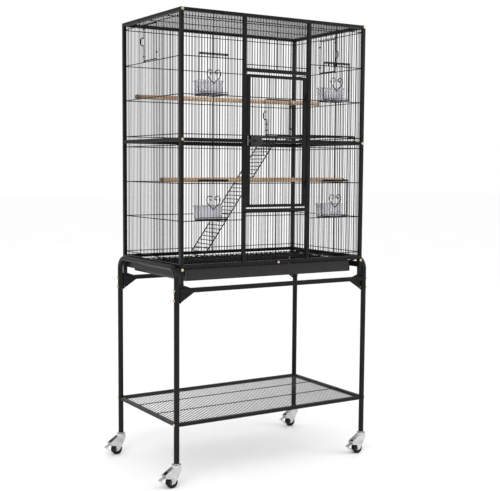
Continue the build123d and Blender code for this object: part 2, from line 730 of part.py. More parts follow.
def hatch_places():
    """For each hatch: its place, the way its rod's bump points, the rod's top and the rod's eyes."""
    side_z = CROSS_ROWS[-2] + CROSS_WIRE / 2
    front_z = rows_in((DOOR_MID_RAIL, DOOR_TOP_BAR))[0] + CROSS_WIRE / 2
    left = Location((-WIRE_PLANE_X, 0, side_z), (0, 0, -90))
    right = Location((WIRE_PLANE_X, 0, side_z), (0, 0, 90))
    front = Location((0, -WIRE_PLANE_Y, front_z))
    return {
        "left": (left, (0, -1), SIDE_ROD_TOP, SIDE_ROD_EYES),
        "right": (right, (0, -1), SIDE_ROD_TOP, SIDE_ROD_EYES),
        "front": (front, (-1, 0), BUMP_Z[1], FRONT_ROD_EYES),
    }


# ---------------------------------------------------------------- fittings inside

def perch(middle_y, z, turn):
    """A dowel from side to side; each notched end straddles an upright of the side wall."""
    reach = WIRE_PLANE_X * sin(radians(turn)) / cos(radians(turn))
    uprights = side_uprights()
    right = nearest(uprights, middle_y + reach)
    left = nearest(uprights, middle_y - reach)
    start = Vector(-WIRE_PLANE_X, left, z)
    along = (Vector(WIRE_PLANE_X, right, z) - start).normalized()
    length = 2 * WIRE_PLANE_X + 2 * PERCH_OVERHANG
    dowel = Solid.make_cylinder(PERCH_R, length, Plane(origin=start - along * PERCH_OVERHANG, z_dir=along))
    for sx, y in ((-1, left), (1, right)):
        depth = (sx * (WIRE_PLANE_X - NOTCH_IN), sx * (WIRE_PLANE_X + NOTCH_IN))
        dowel -= block(depth, (y - NOTCH_W / 2, y + NOTCH_W / 2), (z - 2 * PERCH_R, z + 2 * PERCH_R))
    return [dowel]


def platform():
    """Wire shelf hung between the front and back walls by four hooks, with a wire rim below it."""
    left, right = SHELF_X
    span = (-SHELF_HALF_Y, SHELF_HALF_Y)
    face = framed_panel(SHELF_X, span, spread(left, right), (-SHELF_HALF_Y / 2, 0.0, SHELF_HALF_Y / 2))
    shelf = level_sheet(face, SHELF_Z, SHELF_T)
    z = CROSS_ROWS[4] + CROSS_WIRE / 2 + 0.3 + HOOK_R
    uprights = spread(-INNER_X, INNER_X)
    pitch = uprights[1] - uprights[0]
    for target in (left + 20, right - 25):
        for sy in (-1, 1):
            bay = spread(DOOR_POST_X + TUBE, INNER_X) if sy < 0 else uprights
            x = nearest(bay, target) + pitch / 2
            inner, outer = sy * (SHELF_HALF_Y - HOOK_IN), sy * (WIRE_PLANE_Y + WIRE + HOOK_R)
            shelf += rod([(x, inner, z), (x, outer, z), (x, outer, z - HOOK_DROP)], HOOK_R)
            shelf += block((x - HOOK_R, x + HOOK_R), (inner, sy * SHELF_HALF_Y), (z, SHELF_Z + SHELF_T))
    for sy in (-1, 1):
        shelf += shelf_rim(sy * (SHELF_HALF_Y - SHELF_RIM_R))
    return [shelf]


def shelf_rim(y):
    """Wire under one edge of the shelf, bent up at both ends."""
    left, right = SHELF_X[0] + SHELF_RIM_R, SHELF_X[1] - SHELF_RIM_R
    bend, top = SHELF_RIM_BEND, SHELF_Z + SHELF_RIM_R
    return rod([(left, y, top), (left, y, SHELF_RIM_Z), (right - bend, y, SHELF_RIM_Z),
                (right, y, SHELF_RIM_Z + bend), (right, y, top)], SHELF_RIM_R)


def ladder():
    """Wire ladder leaning from the cage floor to the edge of the shelf."""
    foot = Vector(LADDER_FOOT_X, 0, LADDER_FOOT_Z)
    top = Vector(LADDER_TOP_X, 0, SHELF_Z + SHELF_T)
    along = top - foot
    rails = []
    for y in (-LADDER_HALF_Y, LADDER_HALF_Y):
        start = Plane(origin=foot + Vector(0, y, 0), z_dir=along)
        rails.append(Solid.make_cylinder(LADDER_RAIL_R, along.length, start))
    rungs = []
    for i in range(LADDER_RUNGS):
        centre = foot + along * ((i + 0.5) / LADDER_RUNGS)
        rungs.append(pin((centre.X, 0, centre.Z), "y", RUNG_R, 2 * LADDER_HALF_Y))
    return [rails[0].fuse(rails[1], *rungs)]


# ---------------------------------------------------------------- cage floor

def tray():
    low, high = TRAY_Z
    x, y = TRAY_HALF_X, TRAY_HALF_Y
    pan = block((-x, x), (-y, y), (low, high))
    pan = fillet(pan.edges().filter_by(Axis.Z), TRAY_CORNER)
    inner_x, inner_y = x - TRAY_WALL, y - TRAY_WALL
    pan -= block((-inner_x, inner_x), (-inner_y, inner_y), (low + TRAY_WALL, high + 1))
    ledge = RUNNER_Z[1] + 0.3
    for sx in (-1, 1):
        pan += block((sx * (x - TRAY_WALL), sx * (x + TRAY_RIM)), (-y + 14, y - 14), (ledge, ledge + 2.0))
    straight = (-x + TRAY_CORNER, x - TRAY_CORNER)
    for sy in (-1, 1):
        pan += block(straight, (sy * (y - 1), sy * (y + TRAY_LIP)), (high - TRAY_LIP, high))
    return [pan]


def grate():
    """Wire floor above the tray, with a border of cross wire."""
    edge = ((-GRATE_HALF_X, GRATE_HALF_X), (-GRATE_HALF_Y, GRATE_HALF_Y))
    face = framed_panel(*edge, spread(-GRATE_HALF_X, GRATE_HALF_X, 2 * WIRE_PITCH), (-105.0, 0.0, 105.0))
    return [level_sheet(face, GRATE_Z, CROSS_WIRE)]


def tray_latch():
    """Small tab on the front rail that turns on its screw."""
    y = (-HALF_D - 0.3 - TRAY_LATCH_T, -HALF_D - 0.3)
    tab = block((TRAY_LATCH_X - TRAY_LATCH_HALF_W, TRAY_LATCH_X + TRAY_LATCH_HALF_W), y, TRAY_LATCH_Z)
    return [tab - pin((TRAY_LATCH_X, -HALF_D, TRAY_SCREW_Z), "y", LATCH_SCREW_R + RUN_GAP, 20)]


# ---------------------------------------------------------------- stand

def side_frame(sx):
    """One bent tube: two legs and the bar over them."""
    y = LEG_Y
    path = FilletPolyline((sx * LEG_X, -y, LEG_FOOT), (sx * LEG_X, -y, FRAME_TOP_Z),
                          (sx * LEG_X, y, FRAME_TOP_Z), (sx * LEG_X, y, LEG_FOOT), radius=BEND_R)
    start = Plane(origin=(sx * LEG_X, -y, LEG_FOOT), z_dir=(0, 0, 1))
    tube = sweep(start * Circle(LEG_R), path=path) - sweep(start * Circle(LEG_R - LEG_WALL), path=path)
    for sy in (-1, 1):
        for z in STAND_BOLT_ROWS + (RACK_BOLT_Z,):
            tube -= pin((sx * LEG_X, sy * y, z), "x", BOLT_HOLE_R, 3 * LEG_R)
    return [tube]


def crossbar(sy):
    """Square bar between the legs with a gusset and an end plate at each end."""
    y = sy * LEG_Y
    inner = LEG_X - LEG_R
    depth = (y - CROSSBAR / 2, y + CROSSBAR / 2)
    low, high = GUSSET_Z
    bar = block((-inner, inner), depth, CROSSBAR_Z)
    nose_low, nose_high = GUSSET_NOSE_X
    for sx in (-1, 1):
        corners = [(inner, high), (GUSSET_SHELF_X, high), (nose_high, CROSSBAR_Z[1]),
                   (nose_low, CROSSBAR_Z[0]), (inner - END_PLATE, low), (inner, low)]
        web = Face(outline([(sx * u, v) for u, v in corners]))
        bar += front_sheet(web, y, GUSSET_T)
        bar += block((sx * (inner - END_PLATE), sx * inner), depth, (low, high))
        bar += block((sx * GUSSET_SHELF_X, sx * inner), depth, (high - GUSSET_T, high))
        for z in STAND_BOLT_ROWS:
            bar -= pin((sx * inner, y, z), "x", BOLT_HOLE_R, 16)
    return bar


def rack_rails():
    inner = LEG_X - LEG_R
    rails = []
    for sy in (-1, 1):
        rail = block((-inner, inner), (sy * (LEG_Y - TUBE / 2), sy * (LEG_Y + TUBE / 2)), RACK_Z)
        for sx in (-1, 1):
            rail -= pin((sx * inner, sy * LEG_Y, RACK_BOLT_Z), "x", BOLT_HOLE_R, 16)
        rails.append(rail)
    end = LEG_Y - LEG_R
    for sx in (-1, 1):
        rails.append(block((sx * (LEG_X - TUBE / 2), sx * (LEG_X + TUBE / 2)), (-end, end), RACK_Z))
    return rails


def rack_grille():
    face = wire_panel((-LEG_X, LEG_X), (-LEG_Y, LEG_Y), spread(-LEG_X, LEG_X), RACK_ROWS)
    return [level_sheet(face, RACK_Z[1])]


def stand_bolts():
    """Bolts through the legs from outside, into the crossbars and the rack."""
    bolts = []
    for sx in (-1, 1):
        for sy in (-1, 1):
            for z in STAND_BOLT_ROWS + (RACK_BOLT_Z,):
                outside = LEG_X + LEG_R
                head = pin((sx * (outside + BOLT_HEAD_H / 2), sy * LEG_Y, z), "x", BOLT_HEAD_R, BOLT_HEAD_H)
                reach = 2 * LEG_R + 6
                bolts.append(head + pin((sx * (outside - reach / 2), sy * LEG_Y, z), "x", BOLT_R, reach))
    return bolts


# ---------------------------------------------------------------- casters

def caster_spots():
    return {"front_left": (-1, -1), "front_right": (1, -1), "back_left": (-1, 1), "back_right": (1, 1)}


def at_leg(shape, spot):
    sx, sy = spot
    return Pos(sx * LEG_X, sy * LEG_Y, 0) * shape


def caster_stem():
    """Plug in the leg with a pin the fork swivels on."""
    low, high = SWIVEL_Z
    stem = Pos(0, 0, LEG_FOOT + PLUG_H / 2) * Cylinder(LEG_R - LEG_WALL - 0.05, PLUG_H)
    stem += Pos(0, 0, (high + 0.3 + LEG_FOOT) / 2) * Cylinder(LEG_R + 1.5, LEG_FOOT - high - 0.3)
    stem += Pos(0, 0, (low - 4 + LEG_FOOT) / 2) * Cylinder(STEM_R, LEG_FOOT - low + 4)
    nut_z, nut_t = STEM_NUT
    stem += Pos(0, 0, nut_z) * Cylinder(STEM_R + 3, nut_t)
    return stem


def caster_fork():
    low, high = SWIVEL_Z
    head = Pos(0, 0, (low + high) / 2) * Cylinder(SWIVEL_R, high - low)
    head -= Pos(0, 0, (low + high) / 2) * Cylinder(STEM_R + RUN_GAP, 2 * (high - low))
    cheek = Face(outline(FORK_CHEEK))
    offset = WHEEL_W / 2 + FORK_GAP + FORK_T / 2
    for sy in (-1, 1):
        head += front_sheet(cheek, sy * offset, FORK_T)
    head += pin((-TRAIL, 0, WHEEL_R), "y", AXLE_R, 2 * offset + 8)
    x, z = PEDAL_PIVOT
    return head + pin((x, 0, z), "y", HATCH_PIN_R, 2 * offset + 4)


def wheel_hub():
    hub = pin((-TRAIL, 0, WHEEL_R), "y", HUB_R, WHEEL_W - 2)
    return hub - pin((-TRAIL, 0, WHEEL_R), "y", AXLE_R + RUN_GAP, 2 * WHEEL_W)


def wheel_tyre():
    tyre = pin((-TRAIL, 0, WHEEL_R), "y", WHEEL_R, WHEEL_W)
    edges = tyre.edges().filter_by(GeomType.CIRCLE)
    tyre = fillet(edges, 3.0)
    return tyre - pin((-TRAIL, 0, WHEEL_R), "y", HUB_R, 2 * WHEEL_W)


def strip(start, end, thickness, half_width):
    """A flat strip across Y between two (x, z) points, with round ends."""
    (x0, z0), (x1, z1) = start, end
    along = Vector(x1 - x0, 0, z1 - z0)
    off_x, off_z = -along.Z / along.length * thickness / 2, along.X / along.length * thickness / 2
    corners = [(x0 + off_x, z0 + off_z), (x1 + off_x, z1 + off_z),
               (x1 - off_x, z1 - off_z), (x0 - off_x, z0 - off_z)]
    flat = front_sheet(Face(outline(corners)), 0, 2 * half_width)
    for x, z in (start, end):
        flat += pin((x, 0, z), "y", thickness / 2, 2 * half_width)
    return flat


def brake_pedal():
    """Bent foot lever on a pin behind the wheel; its lower edge presses on the tyre."""
    x, z = PEDAL_PIVOT
    lever = pin((x, 0, z), "y", PEDAL_BARREL_R, 2 * PEDAL_HALF_W)
    for start, end in ((PEDAL_PIVOT, PEDAL_TIP), (PEDAL_TIP, PEDAL_EDGE), (PEDAL_PIVOT, PEDAL_TAB)):
        lever += strip(start, end, PEDAL_T, PEDAL_HALF_W)
    return lever - pin((x, 0, z), "y", HATCH_PIN_R + RUN_GAP, 4 * PEDAL_HALF_W)


# ---------------------------------------------------------------- write the parts

def save(name, solids):
    """Write one STEP file; a node may hold several separate solids."""
    flat = []
    for shape in solids:
        flat += (Pos(CAGE_X, 0, 0) * shape).solids()
    result = flat[0] if len(flat) == 1 else Compound(children=flat)
    result.label = name
    export_step(result, f"parts/{name}.step")


def main():
    os.makedirs("parts", exist_ok=True)
    save("corner_posts", corner_posts())
    save("cage_rails", side_rails() + front_rails() + back_rails())
    save("door_posts", door_posts())
    save("latch_keeper", latch_keeper())
    save("wall_grilles", front_grilles() + back_grilles() + side_grilles())
    save("top_grille", top_grille())
    save("tray_runners", tray_runners())
    save("bolts", cage_bolts() + stand_bolts())
    save("door_frame", door_frame())
    save("door_grilles", door_grilles())
    save("door_hinges", door_hinges())
    save("post_pintles", post_pintles())
    save("latch_plate", latch_plate())
    save("latch_bolt", latch_bolt())
    for side, sx in (("left", -1), ("right", 1)):
        for level, row in (("low", 0), ("high", 1)):
            save(f"feeder_door_{level}_{side}", feeder_door(sx, row))
            save(f"cup_{level}_{side}", cup(sx, row))
    save("cup_rings", cup_rings())
    places = hatch_places()
    for side, (place, bump, rod_top, eyes) in places.items():
        save(f"hatch_{side}", [place * hatch_panel(eyes)])
        save(f"hatch_rod_{side}", [place * hatch_rod(bump, rod_top)])
    left, right, front = (places[side][0] for side in ("left", "right", "front"))
    save("side_hatch_pins", [place * piece for place in (left, right) for piece in hatch_pin()])
    save("front_hatch_pin", [front * piece for piece in hatch_pin()])
    save("upper_perch", perch(*UPPER_PERCH))
    save("lower_perch", perch(*LOWER_PERCH))
    save("platform", platform())
    save("ladder", ladder())
    save("tray", tray())
    save("grate", grate())
    save("tray_latch", tray_latch())
    save("side_frames", side_frame(-1) + side_frame(1))
    save("crossbars", [crossbar(-1), crossbar(1)])
    save("rack_rails", rack_rails())
    save("rack_grille", rack_grille())
    save("caster_stems", [at_leg(caster_stem(), spot) for spot in caster_spots().values()])
    for name, spot in caster_spots().items():
        save(f"fork_{name}", [at_leg(caster_fork(), spot)])
        save(f"hub_{name}", [at_leg(wheel_hub(), spot)])
        save(f"tyre_{name}", [at_leg(wheel_tyre(), spot)])
        save(f"pedal_{name}", [at_leg(brake_pedal(), spot)])


main()
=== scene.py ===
"""Looks of the bird cage on its rolling stand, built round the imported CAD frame.  Metres."""
import bpy
import json
from math import cos, pi, radians, sin
from mathutils import Matrix, Vector


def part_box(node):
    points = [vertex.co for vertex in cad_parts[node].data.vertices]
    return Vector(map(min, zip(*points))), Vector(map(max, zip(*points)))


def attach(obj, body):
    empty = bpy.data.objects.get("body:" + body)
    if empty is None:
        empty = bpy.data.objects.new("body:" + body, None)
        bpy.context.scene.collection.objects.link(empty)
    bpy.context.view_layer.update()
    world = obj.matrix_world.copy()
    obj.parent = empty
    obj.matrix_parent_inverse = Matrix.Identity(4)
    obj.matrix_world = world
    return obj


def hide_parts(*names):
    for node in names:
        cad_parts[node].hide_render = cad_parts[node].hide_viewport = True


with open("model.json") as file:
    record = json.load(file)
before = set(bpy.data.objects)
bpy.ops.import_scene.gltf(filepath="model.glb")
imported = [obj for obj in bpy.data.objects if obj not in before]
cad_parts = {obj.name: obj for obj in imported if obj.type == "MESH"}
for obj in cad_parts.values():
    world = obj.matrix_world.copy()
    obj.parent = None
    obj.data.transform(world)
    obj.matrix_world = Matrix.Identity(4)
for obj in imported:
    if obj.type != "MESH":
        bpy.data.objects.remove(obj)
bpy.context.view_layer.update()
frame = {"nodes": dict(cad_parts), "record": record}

MM = 0.001

# ---- cage, read from the frame ----
# Everything below is laid out with the cage's middle at x = 0; CAGE_X moves it into the frame.
CAGE_X = sum(corner.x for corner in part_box("corner_posts")) / 2


def box(node):
    """Corners of a CAD node, measured from the middle of the cage."""
    return [Vector((corner.x - CAGE_X, corner.y, corner.z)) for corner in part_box(node)]


POST_HIGH = box("corner_posts")[1]
HALF_W, HALF_D, TOP = POST_HIGH.x, POST_HIGH.y, POST_HIGH.z
TUBE = 12 * MM
INNER_X, INNER_Y = HALF_W - TUBE, HALF_D - TUBE
WALL_X, WALL_Y = HALF_W - TUBE / 2, HALF_D - TUBE / 2
LOW_RAIL, MID_RAIL = 738 * MM, 1157.5 * MM
UPPER, LOWER = (MID_RAIL + TUBE, TOP - TUBE), (LOW_RAIL + TUBE, MID_RAIL)

# ---- wire work ----
WIRE_R, CROSS_R, BRACE_R = 1.0 * MM, 1.5 * MM, 1.75 * MM
PITCH = 11.4 * MM
ROWS = [z * MM for z in (763, 894, 1019, 1145, 1182, 1312, 1436, 1565)]      # heights of the cross wires
CROSS_BACK = 0.4 * MM           # cross wires of a wall, behind its uprights
PANEL_CORNER = 4 * MM
TOP_ROWS = [y * MM for y in (-200, -67, 67, 200)]
TOP_ROW_DROP = 0.5 * MM
RACK_ROWS = (-77 * MM, 65 * MM)
RACK_WIRE_R = 1.3 * MM
GRATE_ROWS = (-105 * MM, 0.0, 105 * MM)
WIRE_SIDES = 8

# ---- front ----
DOOR_POST_X = box("door_posts")[1].x - TUBE
DOOR_LOW, DOOR_HIGH = box("door_frame")
DOOR_TUBE = 10 * MM
DOOR_MID = 1158.5 * MM
DOOR_TOP_BAR, DOOR_LOW_BAR = 1397 * MM, 919 * MM
FEEDER_X, FEEDER_OPEN = 255 * MM, 102 * MM
FEEDER_SILLS = (896 * MM, 1314 * MM)     # near the cross wires under the feeder openings
HATCH_HALF, HATCH_H = 50 * MM, 126 * MM
SIDE_BRACE_Y = 85 * MM

# ---- inside ----
PERCH_CAP = 15 * MM             # dark ends of the perches, from the outside of the cage
SHELF_HALF_Y = 196 * MM
SHELF_RIM_Z = 1171 * MM
HOOK_Z, HOOK_R = 1185.8 * MM, 2 * MM
HOOK_START, HOOK_BEND, HOOK_DROP = 12 * MM, 3 * MM, 9 * MM
HOOK_INSETS = (20 * MM, 25 * MM)     # of the hooks from the shelf's left and right ends
BUMP_DEPTH = 0.3 * MM


# ---------------------------------------------------------------- mesh helpers

def new_object(name, verts, faces, smooth=True):
    mesh = bpy.data.meshes.new(name)
    mesh.from_pydata([Vector(vert) + Vector((CAGE_X, 0, 0)) for vert in verts], [], faces)
    mesh.validate()
    mesh.update()
    if smooth:
        mesh.shade_smooth()
    obj = bpy.data.objects.new(name, mesh)
    bpy.context.scene.collection.objects.link(obj)
    return obj


def add_tube(verts, faces, path, radius, sides=WIRE_SIDES, closed=False):
    """A round wire along a path of points."""
    points = [Vector(p) for p in path]
    count = len(points)
    first = len(verts)
    normal = None
    for i, point in enumerate(points):
        before = points[(i - 1) % count] if closed or i > 0 else point
        after = points[(i + 1) % count] if closed or i < count - 1 else point
        along = (after - before).normalized()
        if normal is None:
            helper = Vector((0, 0, 1)) if abs(along.z) < 0.9 else Vector((1, 0, 0))
            normal = along.cross(helper).normalized()
        normal = (normal - along * normal.dot(along)).normalized()
        side = along.cross(normal)
        for k in range(sides):
            turn = 2 * pi * k / sides
            verts.append(point + (normal * cos(turn) + side * sin(turn)) * radius)
    for i in range(count if closed else count - 1):
        here, there = first + i * sides, first + (i + 1) % count * sides
        for k in range(sides):
            after = (k + 1) % sides
            faces.append((here + k, here + after, there + after, there + k))
    if not closed:
        faces.append(tuple(first + k for k in reversed(range(sides))))
        faces.append(tuple(first + (count - 1) * sides + k for k in range(sides)))


def wires(name, runs, body, replaced):
    """One coated object from many wires; each run is (path, radius) or (path, radius, closed)."""
    verts, faces = [], []
    for run in runs:
        add_tube(verts, faces, run[0], run[1], closed=len(run) > 2 and run[2])
    obj = new_object(name, verts, faces)
    return finish_piece(obj, body, "wire_coat", replaced)


def finish_piece(obj, body, slot, replaced=()):
    obj.data.materials.append(MATERIALS[slot])
    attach(obj, body)
    if replaced:
        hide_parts(*replaced)
    return obj


def smooth_path(points, steps=6):
    """A rounded path through the points."""
    spread_points = []
    last = len(points) - 1
    for i in range(last):
        p0, p1 = Vector(points[max(i - 1, 0)]), Vector(points[i])
        p2, p3 = Vector(points[i + 1]), Vector(points[min(i + 2, last)])
        for step in range(steps):
            t = step / steps
            spread_points.append(0.5 * (2 * p1 + (p2 - p0) * t + (2 * p0 - 5 * p1 + 4 * p2 - p3) * t ** 2
                                        + (3 * p1 - p0 - 3 * p2 + p3) * t ** 3))
    spread_points.append(Vector(points[-1]))
    return spread_points


def spread(low, high, pitch=PITCH):
    gaps = round((high - low) / pitch)
    return [low + (high - low) * i / gaps for i in range(1, gaps)]


def nearest(places, target):
    return min(places, key=lambda place: abs(place - target))


def rows_in(span):
    return [z for z in ROWS if span[0] < z < span[1]]


def facing(side, plane):
    """A function that puts flat wire work (u, v, out) into the cage; out points away from the cage."""
    if side == "front":
        return lambda u, v, out=0.0: Vector((u, -plane - out, v))
    if side == "back":
        return lambda u, v, out=0.0: Vector((u, plane + out, v))
    if side == "left":
        return lambda u, v, out=0.0: Vector((-plane - out, u, v))
    return lambda u, v, out=0.0: Vector((plane + out, u, v))


def lattice(place, u_span, v_span, uprights, rows, braces=(), windows=()):
    """Runs of a welded panel: uprights outside, cross wires just behind them."""
    runs = []
    for u in uprights:
        radius = BRACE_R if u in braces else WIRE_R
        cuts = [w for w in windows if w[0] < u < w[1]]
        stretches = [v_span]
        if cuts:
            stretches = [(v_span[0], cuts[0][2]), (cuts[0][3], v_span[1])]
        for low, high in stretches:
            runs.append(((place(u, low), place(u, high)), radius))
    for v in rows:
        runs.append(((place(u_span[0], v, -CROSS_BACK), place(u_span[1], v, -CROSS_BACK)), CROSS_R))
    return runs


def framed(place, u_span, v_span, uprights, rows, border=CROSS_R, out=0.0):
    """Runs of a small door, the shelf or the grate: a bent border, with uprights and rows."""
    u0, u1, v0, v1 = u_span[0] + border, u_span[1] - border, v_span[0] + border, v_span[1] - border
    corner = PANEL_CORNER
    loop = []
    for cu, cv, turn in ((u1 - corner, v1 - corner, 0), (u0 + corner, v1 - corner, 90),
                         (u0 + corner, v0 + corner, 180), (u1 - corner, v0 + corner, 270)):
        for step in range(4):
            angle = radians(turn + 30 * step)
            loop.append(place(cu + corner * cos(angle), cv + corner * sin(angle), out))
    runs = [(loop, border, True)]
    runs += [((place(u, v0, out), place(u, v1, out)), WIRE_R) for u in uprights]
    runs += [((place(u0, v, out), place(u1, v, out)), WIRE_R) for v in rows]
    return runs


# ---------------------------------------------------------------- materials

def new_material(name):
    material = bpy.data.materials.new(name)
    material.use_nodes = True
    return material, material.node_tree.nodes, material.node_tree.links


def noise(nodes, links, scale, detail=4.0, stretch=(1, 1, 1)):
    coords = nodes.new("ShaderNodeTexCoord")
    mapping = nodes.new("ShaderNodeMapping")
    mapping.inputs["Scale"].default_value = stretch
    texture = nodes.new("ShaderNodeTexNoise")
    texture.inputs["Scale"].default_value = scale
    texture.inputs["Detail"].default_value = detail
    links.new(coords.outputs["Object"], mapping.inputs["Vector"])
    links.new(mapping.outputs["Vector"], texture.inputs["Vector"])
    return texture


def ramp(nodes, links, source, low, high, ends=(0.3, 0.7)):
    """Colour or grey between two values, driven by a texture."""
    node = nodes.new("ShaderNodeValToRGB")
    for stop, place, value in zip(node.color_ramp.elements, ends, (low, high)):
        stop.position = place
        stop.color = value if len(value) == 4 else (*value, 1)
    links.new(source, node.inputs["Fac"])
    return node.outputs["Color"]


def grey(value):
    return (value, value, value)


def calculate(nodes, links, operation, *terms):
    """One step of arithmetic; each term is a number or another node's output."""
    node = nodes.new("ShaderNodeMath")
    node.operation = operation
    for socket, term in zip(node.inputs, terms):
        if isinstance(term, (int, float)):
            socket.default_value = term
        else:
            links.new(term, socket)
    return node.outputs["Value"]


def surface(name, low, high, rough, scale=60, bump=0.05, bump_scale=900, metallic=0.0,
            stretch=(1, 1, 1), **sockets):
    """Colour, roughness and fine bump that vary over the surface."""
    material, nodes, links = new_material(name)
    shader = nodes["Principled BSDF"]
    broad = noise(nodes, links, scale, stretch=stretch)
    links.new(ramp(nodes, links, broad.outputs["Fac"], low, high), shader.inputs["Base Color"])
    roughness = ramp(nodes, links, broad.outputs["Fac"], grey(rough[0]), grey(rough[1]))
    links.new(roughness, shader.inputs["Roughness"])
    fine = noise(nodes, links, bump_scale, 2.0, stretch)
    bumps = nodes.new("ShaderNodeBump")
    bumps.inputs["Strength"].default_value = bump
    bumps.inputs["Distance"].default_value = BUMP_DEPTH
    links.new(fine.outputs["Fac"], bumps.inputs["Height"])
    links.new(bumps.outputs["Normal"], shader.inputs["Normal"])
    shader.inputs["Metallic"].default_value = metallic
    for socket, value in sockets.items():
        shader.inputs[socket.replace("_", " ")].default_value = value
    return material


WOOD_DARK, WOOD_PALE, END_COLOUR = (0.42, 0.27, 0.17), (0.66, 0.48, 0.33), (0.16, 0.13, 0.09, 1)


def wood_material():
    """Pale dowel with grain that runs along its length, and dark ends."""
    material, nodes, links = new_material("perch_wood")
    shader = nodes["Principled BSDF"]
    grain = noise(nodes, links, 90, 6.0, stretch=(0.06, 1, 1))
    colour = ramp(nodes, links, grain.outputs["Fac"], WOOD_DARK, WOOD_PALE, ends=(0.35, 0.62))
    coords = nodes.new("ShaderNodeTexCoord")
    split = nodes.new("ShaderNodeSeparateXYZ")
    links.new(coords.outputs["Object"], split.inputs["Vector"])
    from_middle = calculate(nodes, links, "SUBTRACT", split.outputs["X"], CAGE_X)
    distance = calculate(nodes, links, "ABSOLUTE", from_middle)
    capped = calculate(nodes, links, "GREATER_THAN", distance, HALF_W - PERCH_CAP)
    mix = nodes.new("ShaderNodeMix")
    mix.data_type = "RGBA"
    factor, first, second = (s for s in mix.inputs if s.enabled and s.name in ("Factor", "A", "B"))
    links.new(capped, factor)
    links.new(colour, first)
    second.default_value = END_COLOUR
    links.new(next(s for s in mix.outputs if s.enabled), shader.inputs["Base Color"])
    bumps = nodes.new("ShaderNodeBump")
    bumps.inputs["Strength"].default_value = 0.25
    bumps.inputs["Distance"].default_value = BUMP_DEPTH
    links.new(grain.outputs["Fac"], bumps.inputs["Height"])
    links.new(bumps.outputs["Normal"], shader.inputs["Normal"])
    shader.inputs["Roughness"].default_value = 0.6
    return material


MATERIALS = {
    "powder_coat": surface("powder_coat", grey(0.004), grey(0.007), (0.28, 0.40), scale=25, bump=0.12,
                           bump_scale=1400, Specular_IOR_Level=0.18),
    "wire_coat": surface("wire_coat", grey(0.004), grey(0.008), (0.30, 0.42), scale=40, bump=0.06,
                         bump_scale=1400, Specular_IOR_Level=0.15),
    "zinc": surface("zinc", (0.60, 0.50, 0.31), (0.78, 0.70, 0.50), (0.22, 0.38), metallic=0.9, bump=0.04),
    "plated_steel": surface("plated_steel", grey(0.40), grey(0.56), (0.22, 0.36), metallic=0.95, bump=0.05,
                            scale=120, stretch=(1, 6, 1)),
    "bright_steel": surface("bright_steel", grey(0.48), grey(0.66), (0.12, 0.24), metallic=1.0, bump=0.02),
    "cup_plastic": surface("cup_plastic", (0.92, 0.92, 0.96), (0.96, 0.96, 0.99), (0.15, 0.30), scale=30,
                           bump=0.04, Transmission_Weight=0.7, IOR=1.3),
    "tray_plastic": surface("tray_plastic", grey(0.006), grey(0.012), (0.22, 0.34), scale=14, bump=0.08,
                            bump_scale=1200, Specular_IOR_Level=0.4),
    "latch_plastic": surface("latch_plastic", grey(0.008), grey(0.014), (0.28, 0.4), scale=60, bump=0.06),
    "perch_wood": wood_material(),
    "tyre_rubber": surface("tyre_rubber", grey(0.003), grey(0.008), (0.50, 0.70), scale=80, bump=0.2,
                           bump_scale=1500, Specular_IOR_Level=0.2),
    "hub_plastic": surface("hub_plastic", grey(0.02), grey(0.04), (0.35, 0.5), scale=70, bump=0.05),
}


def dress_cad_nodes():
    """Every CAD node takes the material of its slot in the record."""
    for part in frame["record"]["subparts"]:
        node = frame["nodes"][part["node"]]
        node.data.materials.clear()
        node.data.materials.append(MATERIALS[part["material_slot"]])


# ---------------------------------------------------------------- wire walls

def bay_runs(place, sign, span):
    limits = sorted((sign * (DOOR_POST_X + TUBE), sign * INNER_X))
    uprights = spread(*limits)
    rows = rows_in(span)
    sill = nearest(rows, FEEDER_SILLS[0] if span is LOWER else FEEDER_SILLS[1])
    half = FEEDER_OPEN / 2
    window = (sign * FEEDER_X - half, sign * FEEDER_X + half, sill, rows[rows.index(sill) + 1])
    brace = nearest(uprights, sign * FEEDER_X)
    return lattice(place, limits, span, uprights, rows, (brace,), (window,))


def front_wall():
    place = facing("front", WALL_Y)
    runs = []
    for sign in (-1, 1):
        for span in (LOWER, UPPER):
            runs += bay_runs(place, sign, span)
    limits = (-DOOR_POST_X, DOOR_POST_X)
    uprights = spread(*limits)
    brace = (nearest(uprights, 0),)
    above, below = (DOOR_TOP_BAR + TUBE, TOP - TUBE), (LOW_RAIL + TUBE, DOOR_LOW_BAR)
    runs += lattice(place, limits, above, uprights, (above[0] + TUBE, ROWS[-1]), brace)
    runs += lattice(place, limits, below, uprights, (ROWS[0], below[1] - TUBE), brace)
    return wires("front_wires", runs, "cage", ["wall_grilles"])


def back_wall():
    place = facing("back", WALL_Y)
    uprights = spread(-INNER_X, INNER_X)
    braces = [nearest(uprights, x) for x in (-FEEDER_X, 0, FEEDER_X)]
    runs = []
    for span in (LOWER, UPPER):
        runs += lattice(place, (-INNER_X, INNER_X), span, uprights, rows_in(span), braces)
    return wires("back_wires", runs, "cage", ["wall_grilles"])


def side_wall(side):
    place = facing(side, WALL_X)
    uprights = spread(-INNER_Y, INNER_Y)
    braces = [nearest(uprights, y) for y in (-SIDE_BRACE_Y, SIDE_BRACE_Y)]
    window = (-HATCH_HALF, HATCH_HALF, ROWS[-2], ROWS[-1])
    runs = lattice(place, (-INNER_Y, INNER_Y), LOWER, uprights, rows_in(LOWER), braces)
    runs += lattice(place, (-INNER_Y, INNER_Y), UPPER, uprights, rows_in(UPPER), braces, (window,))
    return wires(side + "_wires", runs, "cage", ["wall_grilles"])


